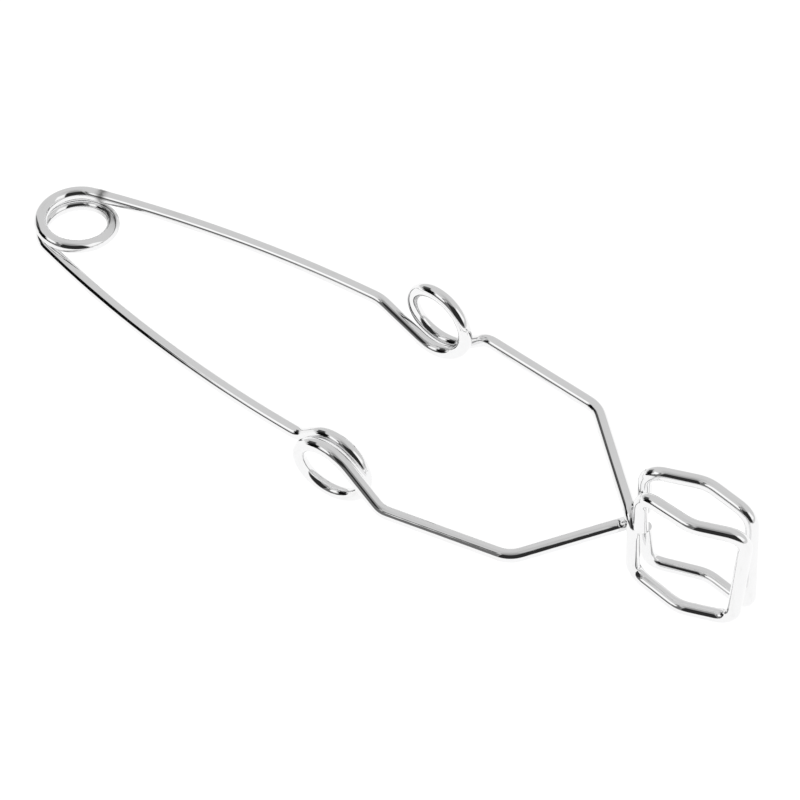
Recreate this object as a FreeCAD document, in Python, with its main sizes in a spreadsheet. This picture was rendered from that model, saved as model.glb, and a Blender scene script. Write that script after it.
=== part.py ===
import FreeCAD, Part

# Spring-wire test tube holder: one length of round wire with a sprung coil at the rear, a finger ring
# in each leg, and two open jaws at the front. The legs cross just behind the jaws, so squeezing the
# finger rings together opens the jaws.
#
# Frame: origin at the centre of the coil, +X from the coil to the jaws, +Y to the left, +Z up.
# The right leg is formed like the left one and turned half a turn about X, with its own hand-made
# lengths and angles. Every section of the wire is one body, and neighbours meet face to face.

import math
import os

import Sketcher
from FreeCAD import Matrix, Placement, Rotation, Vector

UP = Vector(0, 0, 1)
DOWN = Vector(0, 0, -1)
HALF_TURN_ABOUT_X = Rotation(Vector(1, 0, 0), 180)
NO_TURN = Rotation()

# alias, value in mm or degrees, meaning
DIMENSIONS = [
    ("wire_diameter", 2.3, "diameter of the round wire"),
    ("coil_radius", 6.27, "coil axis to the middle of the wire"),
    ("coil_lean", -7.6, "lean of the coil about the long axis, its left side down"),
    ("coil_pitch", 2.7, "rise of the coil in one turn"),
    ("ring_radius", 5.98, "finger ring axis to the middle of the wire"),
    ("ring_pitch", 2.65, "sideways step of a finger ring in one turn"),
    ("ring_lean", 3.2, "angle by which the top of a finger ring leans outwards"),
    ("ring_bend", 2.83, "bend radius where the wire dips into and rises out of a ring"),
    ("lead_bend", 8.0, "bend radius of the slight turns beside a ring"),
    ("knee_bend", 4.47, "bend radius of the knee before the legs cross"),
    ("corner_bend", 2.64, "bend radius of the jaw corners"),
    ("vee_bend", 6.1, "bend radius in the middle of a jaw bar"),
    ("cut_edge", 0.25, "rounding of the edge at the cut ends"),
    ("left_wrap", 13.4, "angle by which the left leg leaves the coil late"),
    ("left_bow", 263.0, "bow radius of the left rear shank"),
    ("left_ring_heading", 1.2, "heading at the end of the left bow"),
    ("left_ring_turn", -5.2, "turn of the ring's plane from the end of the bow"),
    ("left_dip", 24.4, "slope down into the left ring"),
    ("left_dip_run", 8.96, "straight part of that slope"),
    ("left_rise", 40.3, "slope up out of the left ring"),
    ("left_rise_run", 5.19, "straight part of that slope"),
    ("left_lead", 0.9, "outward turn as the wire leaves the left ring"),
    ("left_front_heading", -5.7, "heading of the left front shank"),
    ("left_front_run", 20.16, "straight part of the left front shank"),
    ("left_arm_heading", -43.8, "heading of the left crossing arm"),
    ("left_arm_run", 18.94, "straight part of the left crossing arm"),
    ("left_riser_run", 7.85, "straight part of the left jaw riser"),
    ("left_rear_bar_heading", -11.2, "heading of the first bar's rear half"),
    ("left_rear_bar_run", 5.45, "straight part of the first bar's rear half"),
    ("left_tip_heading", 17.9, "heading of both bars' tip halves"),
    ("left_tip_bar_run", 4.57, "straight part of the first bar's tip half"),
    ("left_tip_lean", 2.7, "forward lean of the jaw tip on its way to the return bar"),
    ("left_tip_run", 17.31, "straight part of the jaw tip"),
    ("left_return_tip_run", 4.4, "straight part of the return bar's tip half"),
    ("left_return_heading", -6.2, "heading of the return bar's rear half"),
    ("left_return_rear_run", 5.4, "straight part of the return bar's rear half"),
    ("left_tail_turn", 91.6, "turn from the return bar into the tail"),
    ("left_tail_run", 6.32, "straight part of the tail"),
    ("right_wrap", 15.0, "angle by which the right leg leaves the coil late"),
    ("right_bow", 268.0, "bow radius of the right rear shank"),
    ("right_ring_heading", 2.1, "heading at the end of the right bow"),
    ("right_ring_turn", -3.9, "turn of the ring's plane from the end of the bow"),
    ("right_dip", 36.7, "slope into the right ring"),
    ("right_dip_run", 3.52, "straight part of that slope"),
    ("right_rise", 27.0, "slope out of the right ring"),
    ("right_rise_run", 7.81, "straight part of that slope"),
    ("right_lead", 12.3, "outward turn as the wire leaves the right ring"),
    ("right_front_heading", -9.2, "heading of the right front shank"),
    ("right_front_run", 19.61, "straight part of the right front shank"),
    ("right_arm_heading", -52.5, "heading of the right crossing arm"),
    ("right_arm_run", 17.83, "straight part of the right crossing arm"),
    ("right_riser_run", 7.33, "straight part of the right jaw riser"),
    ("right_rear_bar_heading", -18.0, "heading of the first bar's rear half"),
    ("right_rear_bar_run", 5.43, "straight part of the first bar's rear half"),
    ("right_tip_heading", 11.1, "heading of both bars' tip halves"),
    ("right_tip_bar_run", 4.74, "straight part of the first bar's tip half"),
    ("right_tip_lean", 2.4, "forward lean of the jaw tip on its way to the return bar"),
    ("right_tip_run", 18.42, "straight part of the jaw tip"),
    ("right_return_tip_run", 4.3, "straight part of the return bar's tip half"),
    ("right_return_heading", -16.2, "heading of the return bar's rear half"),
    ("right_return_rear_run", 5.9, "straight part of the return bar's rear half"),
    ("right_tail_turn", 85.3, "turn from the return bar into the tail"),
    ("right_tail_run", 6.82, "straight part of the tail"),
]

doc = FreeCAD.newDocument("test_tube_holder")
sheet = doc.addObject("Spreadsheet::Sheet", "dims")
for row, (alias, value, meaning) in enumerate(DIMENSIONS, start=1):
    sheet.set(f"A{row}", meaning)
    sheet.set(f"B{row}", str(value))
    sheet.setAlias(f"B{row}", alias)
doc.recompute()

sections = []


def size(alias):
    return float(sheet.get(alias))


def direction(heading, slope=0.0):
    """Unit vector at a heading about Z, climbing at a slope."""
    turn = math.radians(heading)
    climb = math.radians(slope)
    return Vector(math.cos(turn) * math.cos(climb), math.sin(turn) * math.cos(climb), math.sin(climb))


def frame(origin, forward, axis):
    """Placement with its X along forward and its Z along axis."""
    side = axis.cross(forward)
    return Placement(Matrix(
        forward.x, side.x, axis.x, origin.x,
        forward.y, side.y, axis.y, origin.y,
        forward.z, side.z, axis.z, origin.z,
        0, 0, 0, 1,
    ))


def turn_axis(before, after):
    return before.cross(after).normalize()


def run(alias):
    """Straight stretch of wire, as long as a cell says."""
    return {"kind": "run", "length": size(alias), "expression": f"dims.{alias}"}


def bend(radius_alias, angle, expression):
    """Bend of a cell's radius through an angle in degrees, which the expression works out."""
    return {"kind": "bend", "radius": size(radius_alias), "radius_expression": f"dims.{radius_alias}",
            "angle": angle, "expression": expression}


class Pen:
    """Follows the middle of one leg's wire, as if the leg were the left one."""

    def __init__(self, origin, forward):
        self.origin = origin
        self.forward = forward

    def draw(self, axis, moves):
        """Go along moves that lie in one plane, turning about axis, and return that stretch."""
        start = frame(self.origin, self.forward, axis)
        for move in moves:
            if move["kind"] == "run":
                self.origin = self.origin + self.forward * move["length"]
            else:
                centre = self.origin + axis.cross(self.forward) * move["radius"]
                turn = Rotation(axis, move["angle"])
                self.origin = centre + turn.multVec(self.origin - centre)
                self.forward = turn.multVec(self.forward)
        return {"frame": start, "moves": moves}


def new_body(label, placement):
    body = doc.addObject("PartDesign::Body", label)
    body.Label = label
    body.Placement = placement
    sections.append(body)
    return body


def origin_plane(body, role):
    return next(plane for plane in body.Origin.OriginFeatures if plane.Role == role)


def new_sketch(body, name, role="XY_Plane", offset=None):
    sketch = body.newObject("Sketcher::SketchObject", name)
    sketch.AttachmentSupport = [(origin_plane(body, role), "")]
    sketch.MapMode = "FlatFace"
    if offset:
        sketch.AttachmentOffset = offset
    return sketch


def bind(sketch, name, constraint, expression):
    """Add a constraint whose value follows the sheet."""
    index = sketch.addConstraint(constraint)
    sketch.renameConstraint(index, name)
    sketch.setExpression(f"Constraints.{name}", expression)


def draw_wire_circle(sketch, offset_alias=None):
    """The wire's round section, on the sketch's origin or out along its horizontal axis."""
    offset = size(offset_alias) if offset_alias else 0.0
    circle = sketch.addGeometry(Part.Circle(Vector(offset, 0, 0), UP, size("wire_diameter") / 2))
    bind(sketch, "wire", Sketcher.Constraint("Diameter", circle, size("wire_diameter")),
         "dims.wire_diameter")
    if offset_alias:
        sketch.addConstraint(Sketcher.Constraint("PointOnObject", circle, 3, -1))
        bind(sketch, "offset", Sketcher.Constraint("DistanceX", -1, 1, circle, 3, offset),
             f"dims.{offset_alias}")
    else:
        sketch.addConstraint(Sketcher.Constraint("Coincident", circle, 3, -1, 1))


def draw_path(sketch, moves):
    """Runs and bends, end to end and tangent, from the sketch's origin along its X."""
    point = Vector(0, 0, 0)
    heading = 0.0
    last = None
    for number, move in enumerate(moves):
        if move["kind"] == "run":
            end = point + direction(math.degrees(heading)) * move["length"]
            item = sketch.addGeometry(Part.LineSegment(point, end))
            bind(sketch, f"run_{number}", Sketcher.Constraint("Distance", item, move["length"]),
                 move["expression"])
        else:
            sweep = math.radians(move["angle"])
            centre = point + direction(math.degrees(heading) + 90) * move["radius"]
            first = heading - math.pi / 2
            item = sketch.addGeometry(
                Part.ArcOfCircle(Part.Circle(centre, UP, move["radius"]), first, first + sweep))
            end = centre + direction(math.degrees(first + sweep)) * move["radius"]
            bind(sketch, f"radius_{number}", Sketcher.Constraint("Radius", item, move["radius"]),
                 move["radius_expression"])
            bind(sketch, f"angle_{number}", Sketcher.Constraint("Angle", item, sweep),
                 move["expression"])
            heading += sweep
        if last is None:
            sketch.addConstraint(Sketcher.Constraint("Coincident", item, 1, -1, 1))
            if move["kind"] == "run":
                sketch.addConstraint(Sketcher.Constraint("Horizontal", item))
            else:
                sketch.addConstraint(Sketcher.Constraint("PointOnObject", item, 3, -2))
        else:
            sketch.addConstraint(Sketcher.Constraint("Tangent", last, 2, item, 1))
        point = end
        last = item


def wire_section(label, stretches, placing):
    """One body that follows one or more flat stretches of wire, end to end."""
    first = stretches[0]["frame"]
    body = new_body(label, placing.multiply(first))
    across = Placement(Vector(), Rotation(Vector(0, 1, 0), 90))
    for number, stretch in enumerate(stretches):
        offset = first.inverse().multiply(stretch["frame"])
        path = new_sketch(body, f"{label}_path_{number}", offset=offset)
        draw_path(path, stretch["moves"])
        section = new_sketch(body, f"{label}_section_{number}", offset=offset.multiply(across))
        draw_wire_circle(section)
        doc.recompute()
        pipe = body.newObject("PartDesign::AdditivePipe", f"{label}_pipe_{number}")
        pipe.Profile = section
        pipe.Spine = (path, [])
        doc.recompute()
    return body


def helix_section(label, placement, radius_alias, pitch_alias, turns, turns_expression):
    """One body wound left-handed about its own Z, starting on its own X."""
    body = new_body(label, placement)
    section = new_sketch(body, f"{label}_section", role="XZ_Plane")
    draw_wire_circle(section, radius_alias)
    doc.recompute()
    helix = body.newObject("PartDesign::AdditiveHelix", f"{label}_helix")
    helix.Profile = section
    helix.ReferenceAxis = (section, ["V_Axis"])
    helix.Mode = 1
    helix.LeftHanded = True
    helix.Pitch = size(pitch_alias)
    helix.Turns = turns
    helix.setExpression("Pitch", f"dims.{pitch_alias}")
    helix.setExpression("Turns", turns_expression)
    doc.recompute()
    return body


def round_cut_end(body):
    """Take the sharp edge off the cut end, the flat face further from where the section starts."""
    base = body.Tip
    flat_faces = [face for face in base.Shape.Faces if isinstance(face.Surface, Part.Plane)]
    end_face = max(flat_faces, key=lambda face: face.CenterOfMass.Length)
    rim = end_face.Edges[0]
    edge_number = next(i for i, edge in enumerate(base.Shape.Edges, start=1) if edge.isSame(rim))
    fillet = body.newObject("PartDesign::Fillet", f"{body.Label}_cut_end")
    fillet.Base = (base, [f"Edge{edge_number}"])
    fillet.setExpression("Radius", "dims.cut_edge")
    doc.recompute()


# --- coil: three stretches of one left-hand winding -------------------------------------------

COIL_TURNS = (540 - size("left_wrap") - size("right_wrap")) / 360
COIL_HALF_HEIGHT = size("coil_pitch") * COIL_TURNS / 2
HALF_A_TURN = 0.5


COIL_LEAN = Placement(Vector(), Rotation(Vector(1, 0, 0), size("coil_lean")))


def coil_section(label, turns_below, turns, turns_expression):
    """Part of the coil, from turns_below up from its lower end."""
    start_angle = 270 - size("right_wrap") - 360 * turns_below
    start_height = size("coil_pitch") * turns_below - COIL_HALF_HEIGHT
    placement = Placement(Vector(0, 0, start_height), Rotation(UP, start_angle))
    helix_section(label, COIL_LEAN.multiply(placement), "coil_radius", "coil_pitch", turns, turns_expression)


coil_section("lower_coil", 0, HALF_A_TURN, "0.5")
coil_section("middle_coil", HALF_A_TURN, COIL_TURNS - 2 * HALF_A_TURN,
             "(540 - dims.left_wrap - dims.right_wrap) / 360 - 1")
coil_section("upper_coil", COIL_TURNS - HALF_A_TURN, HALF_A_TURN, "0.5")


# --- legs ---------------------------------------------------------------------------------------

def build_leg(side, first_bar, return_bar, rotation):
    """One leg from the coil to its cut end. The two bar names say which lies higher on this leg."""

    def own(name):
        return f"{side}_{name}"

    def heading_turn(high, low):
        """Turn between two headings, as degrees and as an expression."""
        return size(own(high)) - size(own(low)), f"(dims.{own(high)} - dims.{own(low)}) * 1 deg"

    placing = Placement(Vector(), rotation)
    wrap = size(own("wrap"))
    ring_heading = size(own("ring_heading"))
    leave = math.radians(90 + wrap)
    coil_radius = size("coil_radius")
    coil_end = Vector(coil_radius * math.cos(leave), coil_radius * math.sin(leave), COIL_HALF_HEIGHT)
    pen = Pen(COIL_LEAN.multVec(coil_end), COIL_LEAN.multVec(direction(wrap)))

    # rear shank: levelled as it leaves the coil, bowed outwards, then turned into the plane of the ring
    level = direction(wrap)
    angle = math.degrees(pen.forward.getAngle(level))
    leaving = f"(dims.{own('wrap')} * 1 deg)"
    expression = f"acos(cos{leaving}^2 + sin{leaving}^2 * cos(dims.coil_lean * 1 deg))"
    levelling = pen.draw(turn_axis(pen.forward, level), [bend("lead_bend", angle, expression)])
    angle, expression = heading_turn("wrap", "ring_heading")
    ring_turn = size(own("ring_turn"))
    bowed = pen.draw(DOWN, [
        bend(own("bow"), angle, expression),
        bend("lead_bend", -ring_turn, f"-dims.{own('ring_turn')} * 1 deg"),
    ])
    wire_section(own("rear_shank"), [levelling, bowed], placing)

    # ring lead-in: a bend and a straight slope, down into the leaning ring
    along_ring = direction(ring_heading + ring_turn)
    lean = Rotation(along_ring, -size("ring_lean"))
    outward = lean.multVec(direction(ring_heading + ring_turn + 90))
    ring_up = lean.multVec(UP)
    dipping = pen.draw(outward, [
        bend("ring_bend", size(own("dip")), f"dims.{own('dip')} * 1 deg"),
        run(own("dip_run")),
    ])
    wire_section(own("ring_lead_in"), [dipping], placing)

    # finger ring: a full turn and the two slopes, stepping outwards as it goes round
    dip = size(own("dip"))
    rise = size(own("rise"))
    radial = outward.cross(pen.forward)
    centre = pen.origin - radial * size("ring_radius")
    turns = (360 + dip + rise) / 360
    ring_frame = frame(centre, radial, outward)
    helix_section(own("finger_ring"), placing.multiply(ring_frame), "ring_radius", "ring_pitch", turns,
                  f"(360 + dims.{own('dip')} + dims.{own('rise')}) / 360")
    swing = Rotation(outward, -360 * turns)
    step = outward * (size("ring_pitch") * turns)
    pen.origin = centre + swing.multVec(radial) * size("ring_radius") + step
    climb = math.radians(rise)
    pen.forward = along_ring * math.cos(climb) + ring_up * math.sin(climb)

    # front shank: a slight turn outwards, rising out of the ring, then level
    leading = pen.draw(turn_axis(pen.forward, outward), [
        bend("lead_bend", size(own("lead")), f"dims.{own('lead')} * 1 deg"),
    ])
    level = direction(size(own("front_heading")))
    angle = math.degrees(pen.forward.getAngle(level))
    along = f"(dims.{own('ring_heading')} + dims.{own('ring_turn')})"
    plan_turn = f"(({along} - dims.{own('front_heading')}) * 1 deg)"
    slope = f"(dims.{own('rise')} * 1 deg)"
    lead = f"(dims.{own('lead')} * 1 deg)"
    tilt = "(dims.ring_lean * 1 deg)"
    in_ring_plane = f"cos{slope} * cos{plan_turn} - sin{slope} * sin{tilt} * sin{plan_turn}"
    across_ring_plane = f"cos{tilt} * sin{plan_turn}"
    expression = f"acos(cos{lead} * ({in_ring_plane}) - sin{lead} * {across_ring_plane})"
    front = pen.draw(turn_axis(pen.forward, level), [
        run(own("rise_run")),
        bend("ring_bend", angle, expression),
        run(own("front_run")),
    ])
    wire_section(own("front_shank"), [leading, front], placing)

    # crossing arm: the knee, then straight across the middle
    angle, expression = heading_turn("front_heading", "arm_heading")
    arm = pen.draw(DOWN, [bend("knee_bend", angle, expression), run(own("arm_run"))])
    wire_section(own("crossing_arm"), [arm], placing)

    # jaw riser: a corner, a straight drop and the corner into the first bar
    square = 90.0
    drop = pen.draw(turn_axis(pen.forward, DOWN), [
        bend("corner_bend", square, "90 deg"),
        run(own("riser_run")),
    ])
    along_bar = direction(size(own("rear_bar_heading")))
    heel = pen.draw(turn_axis(DOWN, along_bar), [bend("corner_bend", square, "90 deg")])
    wire_section(own("jaw_riser"), [drop, heel], placing)

    # first bar, bent outwards in the middle to hold a tube
    angle, expression = heading_turn("tip_heading", "rear_bar_heading")
    bar = pen.draw(UP, [
        run(own("rear_bar_run")),
        bend("vee_bend", angle, expression),
        run(own("tip_bar_run")),
    ])
    wire_section(own(first_bar), [bar], placing)

    # jaw tip: up and back
    tip_lean = size(own("tip_lean"))
    tip = pen.draw(turn_axis(pen.forward, UP), [
        bend("corner_bend", square - tip_lean, f"(90 - dims.{own('tip_lean')}) * 1 deg"),
        run(own("tip_run")),
        bend("corner_bend", square + tip_lean, f"(90 + dims.{own('tip_lean')}) * 1 deg"),
    ])
    wire_section(own("jaw_tip"), [tip], placing)

    # return bar, bent outwards like the first
    angle, expression = heading_turn("tip_heading", "return_heading")
    back = pen.draw(DOWN, [
        run(own("return_tip_run")),
        bend("vee_bend", angle, expression),
        run(own("return_rear_run")),
    ])
    wire_section(own(return_bar), [back], placing)

    # tail: down to the cut end, just in front of the riser
    tail = pen.draw(turn_axis(pen.forward, DOWN), [
        bend("corner_bend", size(own("tail_turn")), f"dims.{own('tail_turn')} * 1 deg"),
        run(own("tail_run")),
    ])
    round_cut_end(wire_section(own("jaw_tail"), [tail], placing))


build_leg("left", "jaw_lower_bar", "jaw_upper_bar", NO_TURN)
build_leg("right", "jaw_upper_bar", "jaw_lower_bar", HALF_TURN_ABOUT_X)


# --- checks and files ---------------------------------------------------------------------------

doc.recompute()
for item in doc.Objects:
    if "Invalid" in item.State or "Error" in item.State:
        raise RuntimeError(f"{item.Label} is {item.State}")
for body in sections:
    shape = body.Shape
    if shape.isNull() or not shape.isValid() or len(shape.Solids) != 1:
        raise RuntimeError(f"{body.Label} has no single valid solid")

os.makedirs("parts", exist_ok=True)
for body in sections:
    body.Shape.exportStep(f"parts/{body.Label}.step")
    print(f"{body.Label}: {body.Shape.Volume:.1f} mm3")
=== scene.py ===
import math

import bpy
import numpy as np
from mathutils import Matrix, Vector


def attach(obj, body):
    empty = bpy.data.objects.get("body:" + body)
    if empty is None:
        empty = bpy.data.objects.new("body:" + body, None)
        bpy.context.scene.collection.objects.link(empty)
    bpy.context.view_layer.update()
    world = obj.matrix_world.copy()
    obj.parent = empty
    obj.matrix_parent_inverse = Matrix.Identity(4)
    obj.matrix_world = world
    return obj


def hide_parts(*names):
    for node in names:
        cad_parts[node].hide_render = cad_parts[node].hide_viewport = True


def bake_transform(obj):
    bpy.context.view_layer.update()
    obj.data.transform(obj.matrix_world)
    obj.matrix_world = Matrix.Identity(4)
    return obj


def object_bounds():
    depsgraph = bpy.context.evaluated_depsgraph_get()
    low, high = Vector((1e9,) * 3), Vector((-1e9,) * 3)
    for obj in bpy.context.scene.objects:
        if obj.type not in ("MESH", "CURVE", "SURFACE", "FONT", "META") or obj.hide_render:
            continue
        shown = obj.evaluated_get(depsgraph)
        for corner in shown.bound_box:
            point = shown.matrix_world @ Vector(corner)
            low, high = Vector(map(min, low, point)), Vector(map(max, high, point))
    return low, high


# Looks of the spring-wire test tube holder: one drawn, bent and bright-plated wire. The wire is
# swept as one smooth tube along the frame's own route, with the marks that bending and cutting
# leave on it, and cut into pieces where the frame's sections meet. Lengths are in millimetres
# until a mesh is made, and angles in degrees.

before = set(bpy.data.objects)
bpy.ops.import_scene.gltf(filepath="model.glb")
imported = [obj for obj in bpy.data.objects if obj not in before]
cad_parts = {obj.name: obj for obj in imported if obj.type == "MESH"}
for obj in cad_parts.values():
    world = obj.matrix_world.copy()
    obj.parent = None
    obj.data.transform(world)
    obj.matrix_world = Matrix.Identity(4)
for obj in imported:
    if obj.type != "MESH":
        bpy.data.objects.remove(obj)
cad_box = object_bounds()

MM = 0.001
UP = np.array([0.0, 0.0, 1.0])
DOWN = -UP

# --- the frame's own sizes ------------------------------------------------------------------------

WIRE_RADIUS = 1.15
CUT_EDGE = 0.25  # rounding of the nipped ends
COIL_RADIUS = 6.27
COIL_LEAN = -7.6  # about +X, so that its top leans towards +Y
COIL_PITCH = 2.7
RING_RADIUS = 5.98
RING_PITCH = 2.65
RING_LEAN = 3.2
RING_BEND = 2.83
LEAD_BEND = 8.0
KNEE_BEND = 4.47
CORNER_BEND = 2.64
VEE_BEND = 6.1

LEFT = {
    "wrap": 13.4, "bow": 263.0, "ring_heading": 1.2, "ring_turn": -5.2,
    "dip": 24.4, "dip_run": 8.96, "rise": 40.3, "rise_run": 5.19, "lead": 0.9,
    "front_heading": -5.7, "front_run": 20.16, "arm_heading": -43.8, "arm_run": 18.94,
    "riser_run": 7.85, "rear_bar_heading": -11.2, "rear_bar_run": 5.45,
    "tip_heading": 17.9, "tip_bar_run": 4.57, "tip_lean": 2.7, "tip_run": 17.31,
    "return_tip_run": 4.4, "return_heading": -6.2, "return_rear_run": 5.4,
    "tail_turn": 91.6, "tail_run": 6.32,
}
RIGHT = {
    "wrap": 15.0, "bow": 268.0, "ring_heading": 2.1, "ring_turn": -3.9,
    "dip": 36.7, "dip_run": 3.52, "rise": 27.0, "rise_run": 7.81, "lead": 12.3,
    "front_heading": -9.2, "front_run": 19.61, "arm_heading": -52.5, "arm_run": 17.83,
    "riser_run": 7.33, "rear_bar_heading": -18.0, "rear_bar_run": 5.43,
    "tip_heading": 11.1, "tip_bar_run": 4.74, "tip_lean": 2.4, "tip_run": 18.42,
    "return_tip_run": 4.3, "return_heading": -16.2, "return_rear_run": 5.9,
    "tail_turn": 85.3, "tail_run": 6.82,
}

COIL_TURNS = (540 - LEFT["wrap"] - RIGHT["wrap"]) / 360
COIL_HALF_HEIGHT = COIL_PITCH * COIL_TURNS / 2


# --- the middle line of the wire ------------------------------------------------------------------

FINE = 0.05  # between the points the pen keeps


def direction(heading, slope=0.0):
    turn, climb = math.radians(heading), math.radians(slope)
    level = math.cos(climb)
    return np.array([math.cos(turn) * level, math.sin(turn) * level, math.sin(climb)])


def unit(v):
    return v / np.linalg.norm(v)


def turned(v, axis, degrees):
    """Rows of points turned about a unit axis by one angle, or one vector by each of many."""
    a = np.radians(np.atleast_1d(degrees))[:, None]
    along = np.atleast_1d(v @ axis)[:, None] * axis
    return v * np.cos(a) + np.cross(axis, v) * np.sin(a) + along * (1 - np.cos(a))


def leaned(points):
    """Points of an upright coil as they are on the leaning one."""
    return turned(points, np.array([1.0, 0.0, 0.0]), COIL_LEAN).reshape(np.shape(points))


class Pen:
    """Follows the middle of the wire and keeps finely spaced points of it."""

    def __init__(self, origin, forward):
        self.origin = np.array(origin)
        self.forward = np.array(forward)
        self.points = [self.origin[None]]

    def add(self, points):
        self.points.append(points[1:])
        self.origin = points[-1]

    def run(self, length):
        steps = np.linspace(0, length, max(2, math.ceil(length / FINE)))
        self.add(self.origin + steps[:, None] * self.forward)

    def bend(self, radius, degrees, axis):
        steps = np.linspace(0, degrees, max(4, math.ceil(radius * math.radians(degrees) / FINE)))
        inward = np.cross(axis, self.forward) * radius
        self.add(self.origin + inward - turned(inward, axis, steps))
        self.forward = turned(self.forward, axis, degrees)[0]

    def wind(self, radius, pitch, turns, axis):
        """Left-handed turns about the axis, which steps along it."""
        steps = np.linspace(0, 1, math.ceil(turns * math.tau * radius / FINE))
        radial = np.cross(axis, self.forward)
        centre = self.origin - radial * radius
        circle = centre + turned(radial, axis, -360 * turns * steps) * radius
        self.add(circle + axis * (pitch * turns * steps)[:, None])

    def section(self):
        """The points since the last section ended."""
        points = np.vstack(self.points)
        self.points = [self.origin[None]]
        return points


def leg_route(side, d, first_bar, return_bar):
    """A leg's sections from the coil on, each as a name and its points, drawn as a left leg."""
    level = direction(d["wrap"])
    coil_end = direction(90 + d["wrap"]) * COIL_RADIUS + UP * COIL_HALF_HEIGHT
    pen = Pen(leaned(coil_end), leaned(level))
    route = []

    def done(name):
        route.append((f"{side}_{name}", pen.section()))

    def bend_towards(radius, way):
        angle = math.degrees(math.acos(pen.forward @ way))
        pen.bend(radius, angle, unit(np.cross(pen.forward, way)))

    bend_towards(LEAD_BEND, level)
    pen.bend(d["bow"], d["wrap"] - d["ring_heading"], DOWN)
    pen.bend(LEAD_BEND, -d["ring_turn"], DOWN)
    done("rear_shank")

    ring_heading = d["ring_heading"] + d["ring_turn"]
    along = direction(ring_heading)
    outward = turned(direction(ring_heading + 90), along, -RING_LEAN)[0]
    ring_up = turned(UP, along, -RING_LEAN)[0]
    pen.bend(RING_BEND, d["dip"], outward)
    pen.run(d["dip_run"])
    done("ring_lead_in")

    pen.wind(RING_RADIUS, RING_PITCH, (360 + d["dip"] + d["rise"]) / 360, outward)
    done("finger_ring")

    climb = math.radians(d["rise"])
    pen.forward = along * math.cos(climb) + ring_up * math.sin(climb)
    pen.bend(LEAD_BEND, d["lead"], unit(np.cross(pen.forward, outward)))
    pen.run(d["rise_run"])
    bend_towards(RING_BEND, direction(d["front_heading"]))
    pen.run(d["front_run"])
    done("front_shank")

    pen.bend(KNEE_BEND, d["front_heading"] - d["arm_heading"], DOWN)
    pen.run(d["arm_run"])
    done("crossing_arm")

    pen.bend(CORNER_BEND, 90, unit(np.cross(pen.forward, DOWN)))
    pen.run(d["riser_run"])
    pen.bend(CORNER_BEND, 90, unit(np.cross(DOWN, direction(d["rear_bar_heading"]))))
    done("jaw_riser")

    pen.run(d["rear_bar_run"])
    pen.bend(VEE_BEND, d["tip_heading"] - d["rear_bar_heading"], UP)
    pen.run(d["tip_bar_run"])
    done(first_bar)

    up_and_back = unit(np.cross(pen.forward, UP))
    pen.bend(CORNER_BEND, 90 - d["tip_lean"], up_and_back)
    pen.run(d["tip_run"])
    pen.bend(CORNER_BEND, 90 + d["tip_lean"], up_and_back)
    done("jaw_tip")

    pen.run(d["return_tip_run"])
    pen.bend(VEE_BEND, d["tip_heading"] - d["return_heading"], DOWN)
    pen.run(d["return_rear_run"])
    done(return_bar)

    pen.bend(CORNER_BEND, d["tail_turn"], unit(np.cross(pen.forward, DOWN)))
    pen.run(d["tail_run"])
    done("jaw_tail")
    return route


def coil_route():
    """The coil's sections from its lower end up."""
    start = 270 - RIGHT["wrap"]
    pen = Pen(direction(start) * COIL_RADIUS - UP * COIL_HALF_HEIGHT, direction(start - 90))
    route = []
    for name, turns in (("lower_coil", 0.5), ("middle_coil", COIL_TURNS - 1), ("upper_coil", 0.5)):
        pen.wind(COIL_RADIUS, COIL_PITCH, turns, UP)
        pen.forward = turned(pen.forward, UP, -360 * turns)[0]
        route.append((name, leaned(pen.section())))
    return route


def whole_route():
    """The wire's sections from the right leg's cut end, through the coil, to the left leg's."""
    turned_over = np.array([1.0, -1.0, -1.0])
    right = leg_route("right", RIGHT, "jaw_upper_bar", "jaw_lower_bar")
    left = leg_route("left", LEFT, "jaw_lower_bar", "jaw_upper_bar")
    inward = [(name, (points * turned_over)[::-1]) for name, points in reversed(right)]
    return inward + coil_route() + left


STEP = 0.25  # between the rings of the mesh


def evenly(points, spacing):
    """The same line in equal steps of about the given spacing."""
    along = np.concatenate([[0], np.cumsum(np.linalg.norm(np.diff(points, axis=0), axis=1))])
    steps = np.linspace(0, along[-1], max(4, round(along[-1] / spacing)) + 1)
    return np.stack([np.interp(steps, along, points[:, k]) for k in range(3)], 1)


def smoothed(table, sigma):
    """Rows averaged along the wire with a bell curve sigma steps wide, held at both ends."""
    reach = math.ceil(3.5 * sigma)
    weights = np.exp(-0.5 * (np.arange(-reach, reach + 1) / sigma) ** 2)
    weights /= weights.sum()
    before = 2 * table[0] - table[1:reach + 1][::-1]
    after = 2 * table[-1] - table[-reach - 1:-1][::-1]
    padded = np.vstack([before, table, after])
    return np.stack([np.convolve(column, weights, "valid") for column in padded.T], 1)


def carried_frames(line, tangents):
    """Directions across the wire at each point, which never twist about it more than they must."""
    any_way = direction(37.0)
    across = np.zeros_like(line)
    across[0] = unit(np.cross(tangents[0], any_way))
    for i in range(len(line) - 1):
        step = line[i + 1] - line[i]
        square = step @ step
        side = across[i] - step * (2 * (step @ across[i]) / square)
        ahead = tangents[i] - step * (2 * (step @ tangents[i]) / square)
        change = tangents[i + 1] - ahead
        across[i + 1] = side - change * (2 * (change @ side) / max(change @ change, 1e-18))
    across -= tangents * (across * tangents).sum(1, keepdims=True)
    across /= np.linalg.norm(across, axis=1, keepdims=True)
    return across, np.cross(tangents, across)


# --- the wire's surface ---------------------------------------------------------------------------

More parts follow.
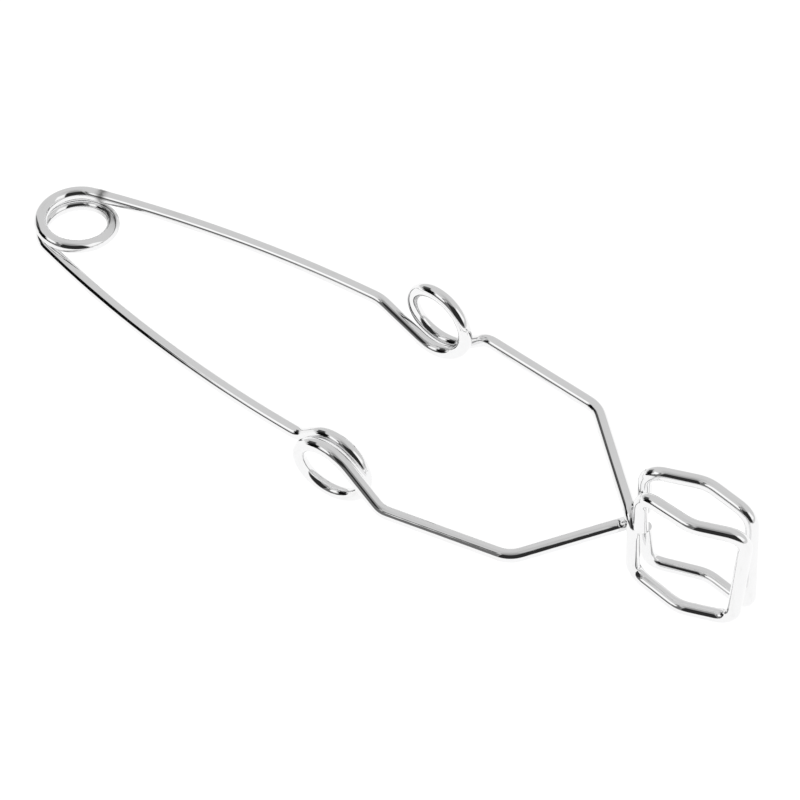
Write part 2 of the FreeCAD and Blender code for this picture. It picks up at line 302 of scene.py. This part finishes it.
AROUND = 48  # points in a ring
LINE_SMOOTHING = 1.9  # steps over which the joins between runs and bends are eased
CURL_SMOOTHING = 1.5
TIGHT_CURL = 0.19, 0.37  # curvature at which a bend first marks the wire, and marks it most
UNDERSIZE = 0.006  # makes up for what the unevenness adds
FLATTENING = 0.034  # outside a tight bend
THICKENING = 0.014  # inside it
SHADE_FROM_COIL = 2.0  # along the left leg to the painted shade where it leaves the coil over the turn below
SHADE_SHORT_BELOW = 3.4  # that much short of a whole turn back, the wider painted shade on the turn below it
SHADED_ABOVE = 0.85, 0.8  # how dark each painted shade is, and how wide
SHADED_BELOW = 0.6, 3.0


class Wire:
    """Rings of points along the whole wire, and where each section starts and ends in them."""

    def __init__(self):
        lines, self.spans, count = [], {}, 0
        for name, points in whole_route():
            line = evenly(points, STEP)
            self.spans[name] = (count, count + len(line) - 1)
            count += len(line) - 1
            lines.append(line[:-1])
        lines.append(line[-1:])
        self.line = smoothed(np.vstack(lines), LINE_SMOOTHING)
        steps = np.linalg.norm(np.diff(self.line, axis=0), axis=1)
        self.along = np.concatenate([[0], np.cumsum(steps)])
        self.tangents = np.gradient(self.line, self.along, axis=0)
        self.tangents /= np.linalg.norm(self.tangents, axis=1, keepdims=True)
        self.across, self.beside = carried_frames(self.line, self.tangents)
        self.curl = smoothed(np.gradient(self.tangents, self.along, axis=0), CURL_SMOOTHING)
        self.angles = np.arange(AROUND) * math.tau / AROUND
        low, high = TIGHT_CURL
        self.bending = np.clip((np.linalg.norm(self.curl, axis=1) - low) / (high - low), 0, 1)
        self.crossing_shade = self.find_crossing_shade()
        self.radii = self.measure_radii()
        self.rings = self.place_rings()
        self.normals = self.face_out()

    def find_crossing_shade(self):
        """Painted shade where the left leg leaves the coil over the turn below it, and on that
        turn: how dark the plate is painted at each point.
        """
        over = self.along[self.spans["left_rear_shank"][0]] + SHADE_FROM_COIL
        under = over - math.tau * COIL_RADIUS + SHADE_SHORT_BELOW
        return sum(dark * np.exp(-((self.along - place) / width) ** 2)
                   for place, (dark, width) in ((over, SHADED_ABOVE), (under, SHADED_BELOW)))

    def measure_radii(self):
        """Radius round each ring: round stock, a little uneven, flattened outside tight bends."""
        angle, along = self.angles[None, :], self.along[:, None]
        ripple = (0.0028 * np.sin(2 * angle + 0.11 * along)
                  + 0.0016 * np.sin(3 * angle - 0.37 * along + 1.3)
                  + 0.0022 * np.sin(0.83 * along + 0.6)
                  + 0.0014 * np.sin(2.1 * along + 2.2 * np.sin(angle)))
        out_x = -(self.curl * self.across).sum(1)
        out_y = -(self.curl * self.beside).sum(1)
        outward = np.cos(self.angles[None, :] - np.arctan2(out_y, out_x)[:, None])
        squeeze = (FLATTENING * np.clip(outward, 0, 1) ** 2
                   - THICKENING * np.clip(-outward, 0, 1) ** 2)
        return WIRE_RADIUS - UNDERSIZE + ripple - self.bending[:, None] * squeeze

    def place_rings(self):
        out = (np.cos(self.angles)[None, :, None] * self.across[:, None]
               + np.sin(self.angles)[None, :, None] * self.beside[:, None])
        return self.line[:, None] + out * self.radii[:, :, None]

    def face_out(self):
        ahead = np.gradient(self.rings, axis=0)
        round_ring = np.roll(self.rings, -1, axis=1) - np.roll(self.rings, 1, axis=1)
        normals = np.cross(round_ring, ahead)
        return normals / np.linalg.norm(normals, axis=2, keepdims=True)


wire = Wire()


def with_cut_end(columns, end, sign):
    """A section's rings, normals, places and bending, with its last few rings replaced by ones
    that round off the nipped end. The nippers roll one side of the rim over more than the other."""
    drop = math.ceil(1.5 * CUT_EDGE / STEP)
    centre, forward = wire.line[end], wire.tangents[end] * sign
    out = wire.rings[end] - centre
    radius = np.linalg.norm(out, axis=1, keepdims=True)
    out = out / radius
    roll = CUT_EDGE * (1.0 + 0.45 * np.cos(wire.angles - 0.9))[:, None]
    rings, normals = [], []
    for lift in (0, 18, 36, 54, 72, 90):
        outward, ahead = math.cos(math.radians(lift)), math.sin(math.radians(lift))
        side = centre + out * (radius - roll * (1 - outward))
        rings.append(side - forward * roll * (1 - ahead))
        normals.append(out * outward + forward * ahead)
    places, bending = [wire.along[end]] * len(rings), [0.0] * len(rings)
    return [np.concatenate([column[:-drop], extra])
            for column, extra in zip(columns, (rings, normals, places, bending))]


def cap_normal(ring):
    """The way along the wire that a flat ring faces."""
    return unit(np.cross(ring[AROUND // 4] - ring[0], ring[AROUND // 2] - ring[0]))


def wire_piece(name):
    """Mesh object for one section, closed at both ends, with the surface of the whole wire."""
    first, last = wire.spans[name]
    kept = slice(first, last + 1)
    columns = [wire.rings[kept], wire.normals[kept], wire.along[kept], wire.bending[kept]]
    whole = len(wire.line) - 1
    if last == whole:
        columns = with_cut_end(columns, whole, 1)
    elif first == 0:
        from_inside = [column[::-1] for column in columns]
        columns = [column[::-1] for column in with_cut_end(from_inside, 0, -1)]
    rings, normals, places, bending = columns

    faces = []
    for i in range(len(rings) - 1):
        here, ahead = i * AROUND, (i + 1) * AROUND
        for j in range(AROUND):
            k = (j + 1) % AROUND
            faces.append((here + j, here + k, ahead + k, ahead + j))
    faces.append(tuple(range(AROUND - 1, -1, -1)))
    faces.append(tuple((len(rings) - 1) * AROUND + j for j in range(AROUND)))
    mesh = bpy.data.meshes.new(f"{name}_wire")
    mesh.from_pydata((rings.reshape(-1, 3) * MM).tolist(), [], faces)
    mesh.polygons.foreach_set("use_smooth", [True] * len(faces))

    corner_points = np.zeros(len(mesh.loops), np.int32)
    mesh.loops.foreach_get("vertex_index", corner_points)
    corner_normals = normals.reshape(-1, 3)[corner_points]
    corner_normals[-2 * AROUND:-AROUND] = -cap_normal(rings[0])
    corner_normals[-AROUND:] = cap_normal(rings[-1])
    mesh.normals_split_custom_set(corner_normals.tolist())

    def give(attribute, kind, field, values):
        data = mesh.attributes.new(attribute, kind, "POINT").data
        data.foreach_set(field, values.astype(np.float32).ravel())

    around = np.stack([np.cos(wire.angles), np.sin(wire.angles)], 1) * WIRE_RADIUS
    stock = np.column_stack([np.tile(around, (len(rings), 1)), np.repeat(places, AROUND)])
    give("stock", "FLOAT_VECTOR", "vector", stock)
    # painted shade where the left leg passes over the coil's turn below it, handed on to the
    # material
    crossing_shade = np.interp(places, wire.along, wire.crossing_shade)
    give("worked", "FLOAT", "value", np.repeat(bending, AROUND))
    give("shade_mark", "FLOAT", "value", np.repeat(crossing_shade, AROUND))
    mesh.update()
    piece = bpy.data.objects.new(f"{name}_wire", mesh)
    bpy.context.scene.collection.objects.link(piece)
    return piece


# --- bright nickel plate --------------------------------------------------------------------------

class Nodes:
    """Short ways to add and join shader nodes in one tree."""

    def __init__(self, tree):
        self.tree = tree
        tree.nodes.clear()

    def add(self, kind, **settings):
        node = self.tree.nodes.new(kind)
        for key, value in settings.items():
            setattr(node, key, value)
        return node

    def feed(self, socket, value):
        if isinstance(value, bpy.types.NodeSocket):
            self.tree.links.new(value, socket)
        else:
            socket.default_value = value

    def math(self, operation, a, b=0.0, clamp=False):
        node = self.add("ShaderNodeMath", operation=operation, use_clamp=clamp)
        self.feed(node.inputs[0], a)
        self.feed(node.inputs[1], b)
        return node.outputs[0]

    def ramp(self, value, low, high, to_low=0.0, to_high=1.0):
        node = self.add("ShaderNodeMapRange", interpolation_type="SMOOTHSTEP")
        self.feed(node.inputs["Value"], value)
        self.feed(node.inputs["From Min"], low)
        self.feed(node.inputs["From Max"], high)
        self.feed(node.inputs["To Min"], to_low)
        self.feed(node.inputs["To Max"], to_high)
        return node.outputs[0]

    def mix(self, factor, a, b):
        node = self.add("ShaderNodeMix", data_type="FLOAT")
        self.feed(node.inputs[0], factor)
        self.feed(node.inputs[2], a)
        self.feed(node.inputs[3], b)
        return node.outputs[0]

    def scaled(self, vector, scale):
        node = self.add("ShaderNodeVectorMath", operation="MULTIPLY")
        self.feed(node.inputs[0], vector)
        node.inputs[1].default_value = scale
        return node.outputs[0]

    def colour_mix(self, factor, a, b):
        node = self.add("ShaderNodeMix", data_type="RGBA")
        self.feed(node.inputs[0], factor)
        self.feed(node.inputs[6], a)
        self.feed(node.inputs[7], b)
        return node.outputs[2]

    def noise(self, vector, grain, detail, roughness):
        """Noise with so many grains to the millimetre, in each direction of the vector."""
        node = self.add("ShaderNodeTexNoise")
        self.feed(node.inputs["Vector"], self.scaled(vector, grain))
        node.inputs["Scale"].default_value = 1.0
        node.inputs["Detail"].default_value = detail
        node.inputs["Roughness"].default_value = roughness
        return node.outputs["Fac"]


def plated_wire():
    """Bright nickel on drawn steel wire: fine lines along the wire, soft clouding, duller, finely
    crazed plate where a bend has stretched it, and painted shade, dark and a little rougher, where
    the left leg passes over the turn of the coil below it. The pattern follows the wire through
    every bend."""
    material = bpy.data.materials.new("bright_nickel_wire")
    material.use_nodes = True
    n = Nodes(material.node_tree)
    stock = n.add("ShaderNodeAttribute", attribute_name="stock").outputs["Vector"]
    worked = n.add("ShaderNodeAttribute", attribute_name="worked").outputs["Fac"]
    shade_mark = n.add("ShaderNodeAttribute", attribute_name="shade_mark").outputs["Fac"]

    lines = n.noise(stock, (7.0, 7.0, 0.09), 3.0, 0.6)
    clouds = n.noise(stock, (0.9, 0.9, 0.16), 3.0, 0.55)
    pits = n.ramp(n.noise(stock, (4.5, 4.5, 4.0), 2.0, 0.5), 0.66, 0.78)
    crazing = n.math("MULTIPLY", n.noise(stock, (1.2, 1.2, 9.0), 2.0, 0.6), worked)
    # painted shade where the left leg passes over the turn below it: darkened plate, broken up by
    # noise, and made a little rougher
    shade_breakup = n.noise(stock, (1.1, 1.1, 0.8), 3.0, 0.6)
    painted_shade = n.math("MULTIPLY", shade_mark, n.ramp(shade_breakup, 0.25, 0.6, 0.35, 1.0), clamp=True)

    roughness = n.ramp(clouds, 0.3, 0.75, 0.03, 0.06)
    for mark, amount in ((lines, 0.02), (crazing, 0.07), (pits, 0.12), (painted_shade, 0.16)):
        roughness = n.math("ADD", roughness, n.math("MULTIPLY", mark, amount), clamp=True)

    dull = n.math("ADD", n.ramp(clouds, 0.52, 0.8, 0.0, 0.5), n.math("MULTIPLY", pits, 0.5),
                  clamp=True)
    colour = n.colour_mix(dull, (0.865, 0.865, 0.868, 1), (0.76, 0.757, 0.75, 1))
    # the painted shade darkens the plate to near black
    colour = n.colour_mix(painted_shade, colour, (0.1, 0.098, 0.095, 1))

    height = n.math("ADD", n.math("MULTIPLY", lines, 0.5), n.math("MULTIPLY", crazing, 0.9))
    height = n.math("SUBTRACT", height, n.math("MULTIPLY", pits, 0.6))
    bump = n.add("ShaderNodeBump")
    bump.inputs["Strength"].default_value = 0.12
    bump.inputs["Distance"].default_value = 0.00002
    n.feed(bump.inputs["Height"], height)

    shader = n.add("ShaderNodeBsdfPrincipled")
    shader.inputs["Metallic"].default_value = 1.0
    n.feed(shader.inputs["Base Color"], colour)
    n.feed(shader.inputs["Roughness"], roughness)
    n.feed(shader.inputs["Normal"], bump.outputs["Normal"])
    output = n.add("ShaderNodeOutputMaterial")
    n.feed(output.inputs["Surface"], shader.outputs[0])
    return material


nickel = plated_wire()


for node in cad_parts:
    piece = wire_piece(node)
    piece.data.materials.append(nickel)
    if node == "upper_coil":
        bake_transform(piece)
    elif node == "lower_coil":
        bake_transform(piece)
    elif node == "middle_coil":
        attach(piece, "coil")
    else:
        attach(piece, "left_leg" if node.startswith("left_") else "right_leg")
    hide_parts(node)


# --- floor, light and camera ----------------------------------------------------------------------

PLATE = 0.85  # share of the light that the plate reflects
BACKDROP = 0.97  # how light the room is behind the clamp
TABLE_HALF = 3.0
TABLE_GAP = 0.0002  # below the clamp


def shown(grey):
    """Light level that looks like this 0 to 255 grey."""
    v = grey / 255
    return ((v + 0.055) / 1.055) ** 2.4 if v > 0.04 else v / 12.92


def light_table():
    """A large white table, lit from within, so that hardly any shadow shows."""
    z = cad_box[0].z - TABLE_GAP
    mesh = bpy.data.meshes.new("floor")
    cells = 12
    row = cells + 1
    points = [(TABLE_HALF * (2 * i / cells - 1), TABLE_HALF * (2 * j / cells - 1), z)
              for j in range(row) for i in range(row)]
    faces = [(j * row + i, j * row + i + 1, (j + 1) * row + i + 1, (j + 1) * row + i)
             for j in range(cells) for i in range(cells)]
    mesh.from_pydata(points, [], faces)
    floor = bpy.data.objects.new("floor", mesh)
    bpy.context.scene.collection.objects.link(floor)
    material = bpy.data.materials.new("white_table")
    material.use_nodes = True
    n = Nodes(material.node_tree)
    shader = n.add("ShaderNodeBsdfPrincipled")
    shader.inputs["Base Color"].default_value = (0.3, 0.3, 0.3, 1)
    shader.inputs["Roughness"].default_value = 0.9
    shader.inputs["Specular IOR Level"].default_value = 0.0
    shader.inputs["Emission Color"].default_value = (1, 1, 1, 1)
    shader.inputs["Emission Strength"].default_value = 0.92
    output = n.add("ShaderNodeOutputMaterial")
    n.feed(output.inputs["Surface"], shader.outputs[0])
    mesh.materials.append(material)


def studio():
    """A pale dome with darker walls, windows and their frames, as the greys they show in the plate.
    Azimuth 0 faces -Y and 90 faces +X. Each area covers those before it, and fades out softly."""
    world = bpy.data.worlds.new("studio")
    bpy.context.scene.world = world
    world.use_nodes = True
    n = Nodes(world.node_tree)
    way = n.add("ShaderNodeSeparateXYZ")
    n.feed(way.inputs[0], n.add("ShaderNodeTexCoord").outputs["Generated"])
    x, y, z = way.outputs
    degrees = 180 / math.pi
    azimuth = n.math("MULTIPLY", n.math("ARCTAN2", x, n.math("MULTIPLY", y, -1.0)), degrees)
    elevation = n.math("MULTIPLY", n.math("ARCSINE", z), degrees)

    def level(grey):
        return shown(grey) / PLATE

    def band(value, low, high, soft):
        rise = n.ramp(value, low - soft, low + soft)
        fall = n.ramp(value, high - soft, high + soft, 1.0, 0.0)
        return n.math("MULTIPLY", rise, fall)

    light = n.ramp(elevation, -4.0, 6.0, level(226), level(202))
    light = n.mix(n.ramp(elevation, 62, 88), light, level(184))
    for grey, azimuths, elevations in (
        (148, (-14, 76, 6), (60, 84, 5)),
        (140, (-14, 76, 6), (-6, 6, 3)),
        (42, (0, 73, 2), (4, 61, 3)),
        (105, (-14, 0, 2), (5, 50, 3)),
        (240, (-96, -20, 6), (-8, 5, 3)),
        (75, (-102, -84, 2), (16, 41, 3)),
        (35, (-84, -60, 2), (11, 39, 2)),
        (8, (-64, -44, 2), (0, 43, 2)),
        (12, (-48, -38, 2), (3, 30, 2)),
        (15, (-38, -22, 2), (5, 20, 2)),
        (90, (-22, -12, 2), (5, 26, 2)),
        (253, (-47, -14, 2), (31, 51, 2)),
        (240, (-60, -47, 2), (44, 51, 2)),
        (85, (-24, -12, 2), (48, 62, 3)),
        (246, (76, 112, 3), (15, 52, 3)),
    ):
        mask = n.math("MULTIPLY", band(azimuth, *azimuths), band(elevation, *elevations))
        light = n.mix(mask, light, level(grey))

    seen = n.add("ShaderNodeLightPath").outputs["Is Camera Ray"]
    light = n.mix(seen, light, BACKDROP)
    colour = n.add("ShaderNodeCombineColor")
    for socket in colour.inputs:
        n.feed(socket, light)
    background = n.add("ShaderNodeBackground")
    n.feed(background.inputs["Color"], colour.outputs[0])
    output = n.add("ShaderNodeOutputWorld")
    n.feed(output.inputs["Surface"], background.outputs[0])


def place_camera():
    """Close over the right shoulder of the clamp, looking down at its middle, tipped a little."""
    azimuth, elevation, tip = math.radians(39.34), math.radians(52.19), math.radians(-5.47)
    target, distance, focal = np.array([69.71, -1.49, 0.0]), 391.31, 108.49
    back = np.array([math.sin(azimuth) * math.cos(elevation),
                     -math.cos(azimuth) * math.cos(elevation),
                     math.sin(elevation)])
    level = np.array([math.cos(azimuth), math.sin(azimuth), 0.0])
    over = np.cross(back, level)
    right = level * math.cos(tip) + over * math.sin(tip)
    up = -level * math.sin(tip) + over * math.cos(tip)
    data = bpy.data.cameras.new("camera")
    data.sensor_width = 36
    data.lens = focal
    data.clip_start, data.clip_end = 0.01, 20
    camera = bpy.data.objects.new("camera", data)
    bpy.context.scene.collection.objects.link(camera)
    place = Matrix.Identity(4)
    for k, column in enumerate((right, up, back, (target + back * distance) * MM)):
        for r in range(3):
            place[r][k] = column[r]
    camera.matrix_world = place
    bpy.context.scene.camera = camera


light_table()
studio()
place_camera()
bpy.context.scene.view_settings.view_transform = "Standard"
